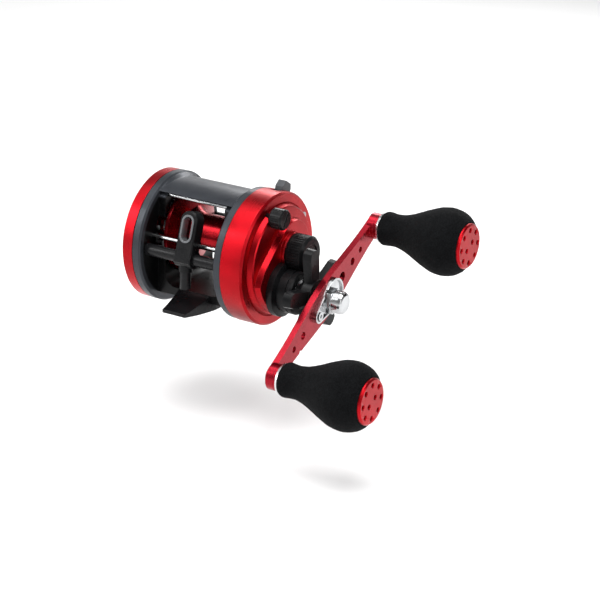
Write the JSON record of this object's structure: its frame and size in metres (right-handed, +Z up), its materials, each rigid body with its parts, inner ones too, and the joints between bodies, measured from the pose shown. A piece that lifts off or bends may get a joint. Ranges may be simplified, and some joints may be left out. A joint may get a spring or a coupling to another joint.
{
  "type": "baitcasting fishing reel",
  "caption": "Round baitcasting fishing reel with red side covers, a level-wind line guide, a star drag and a double-knob power handle.",
  "frame": {"origin": "middle of the foot's underside", "axes": "+X along the spool axis to the handle side, +Z up from the foot, -Y to the front where the line leaves"},
  "size_m": [0.1512, 0.1202, 0.0875],
  "materials": {
    "gunmetal": "satin",
    "black_metal": "satin",
    "red_metal": "satin red anodised",
    "red_spool": "satin red anodised",
    "steel": "brushed",
    "chrome": "polished",
    "brass": "satin",
    "aluminium": "satin",
    "black_plastic": "matte",
    "gloss_black": "gloss",
    "grey_lever": "satin",
    "ring_grey": "gloss",
    "foam": "matte foam",
    "fibre": "matte"
  },
  "bodies": {
    "frame": {"frame": "gunmetal", "foot": "black_metal", "foot_screws": "steel", "top_rod": "chrome", "left_cover": "red_metal", "left_cover_screws": "steel", "brake_magnet_ring": "steel", "left_spool_bearing": "steel", "pinion_bearing_inner": "steel", "pinion_bearing_outer": "steel", "right_cover": "red_metal", "right_cover_screws": "steel", "drive_boss": "black_plastic", "one_way_bearing": "steel", "drive_shaft_bearing": "steel", "idler_pin": "steel", "worm_tube": "black_metal", "worm_bushes": "brass", "guide_rod": "chrome"},
    "brake_dial": {"brake_dial": "black_plastic"},
    "spool": {"spool": "red_spool", "spool_flanges": "red_spool", "spool_shaft": "steel", "brake_rotor": "aluminium", "pinion_gear": "brass"},
    "cast_control_cap": {"cast_control_cap": "black_plastic", "cast_control_washers": "brass"},
    "side_knob": {"side_knob": "gloss_black"},
    "thumb_lever": {"thumb_lever": "grey_lever"},
    "handle": {"drive_shaft": "steel", "drive_gear": "brass", "drag_washers": "fibre", "drag_plates": "steel", "ratchet": "steel", "level_wind_shaft_gear": "black_plastic", "drag_sleeve": "steel", "handle_arm": "red_metal", "handle_nut": "chrome", "nut_retainer": "chrome", "retainer_screw": "chrome", "knob_spindle_upper": "steel", "knob_spindle_lower": "steel", "knob_collar_upper": "chrome", "knob_collar_lower": "chrome"},
    "star_drag": {"star_drag": "black_plastic"},
    "knob_upper": {"knob_core_upper": "aluminium", "knob_grip_upper": "foam", "knob_cap_upper": "red_metal"},
    "knob_lower": {"knob_core_lower": "aluminium", "knob_grip_lower": "foam", "knob_cap_lower": "red_metal"},
    "idler_gear": {"idler_gear": "black_plastic"},
    "worm": {"worm_shaft": "steel", "worm_gear": "black_plastic"},
    "line_guide": {"guide_carriage": "black_plastic", "guide_eyelet": "ring_grey", "pawl": "steel", "pawl_cap": "black_metal"}
  },
  "joints": [
    {"name": "handle_turn", "type": "hinge", "parent": "frame", "child": "handle", "pos_m": [0.064, -0.00564, 0.01659], "axis": [1, 0, 0], "continuous": true},
    {"name": "spool_turn", "type": "hinge", "parent": "frame", "child": "spool", "pos_m": [0, 0.0026, 0.0329], "axis": [1, 0, 0], "continuous": true},
    {"name": "idler_turn", "type": "hinge", "parent": "frame", "child": "idler_gear", "pos_m": [0.0241, -0.01469, 0.02623], "axis": [1, 0, 0], "continuous": true},
    {"name": "worm_turn", "type": "hinge", "parent": "frame", "child": "worm", "pos_m": [0, -0.0252, 0.0288], "axis": [1, 0, 0], "continuous": true},
    {"name": "star_drag_turn", "type": "hinge", "parent": "handle", "child": "star_drag", "pos_m": [0.0589, -0.00564, 0.01659], "axis": [1, 0, 0], "range_deg": [-180, 180]},
    {"name": "knob_upper_turn", "type": "hinge", "parent": "handle", "child": "knob_upper", "pos_m": [0.09, 0.03806, 0.04079], "axis": [1, 0, 0], "continuous": true},
    {"name": "knob_lower_turn", "type": "hinge", "parent": "handle", "child": "knob_lower", "pos_m": [0.09, -0.04934, -0.00761], "axis": [1, 0, 0], "continuous": true},
    {"name": "cast_control_turn", "type": "hinge", "parent": "frame", "child": "cast_control_cap", "pos_m": [0.049, 0.0026, 0.0329], "axis": [1, 0, 0], "range_deg": [-180, 180]},
    {"name": "brake_dial_turn", "type": "hinge", "parent": "frame", "child": "brake_dial", "pos_m": [-0.032, 0.0026, 0.0329], "axis": [1, 0, 0], "range_deg": [-120, 120]},
    {"name": "side_knob_turn", "type": "hinge", "parent": "frame", "child": "side_knob", "pos_m": [0.043, -0.0102, 0.0525], "axis": [1, 0, 0], "range_deg": [-60, 60]},
    {"name": "thumb_lever_press", "type": "hinge", "parent": "frame", "child": "thumb_lever", "pos_m": [0.031, 0, 0.0285], "axis": [1, 0, 0], "range_deg": [-10, 0]},
    {"name": "line_guide_slide", "type": "slide", "parent": "frame", "child": "line_guide", "axis": [1, 0, 0], "range_m": [-0.015, 0.011]}
  ],
  "couplings": [
    {"joint": "spool_turn", "follows": "handle_turn", "ratio": -6.3},
    {"joint": "idler_turn", "follows": "handle_turn", "ratio": -0.83333},
    {"joint": "worm_turn", "follows": "handle_turn", "ratio": 1.6667}
  ]
}
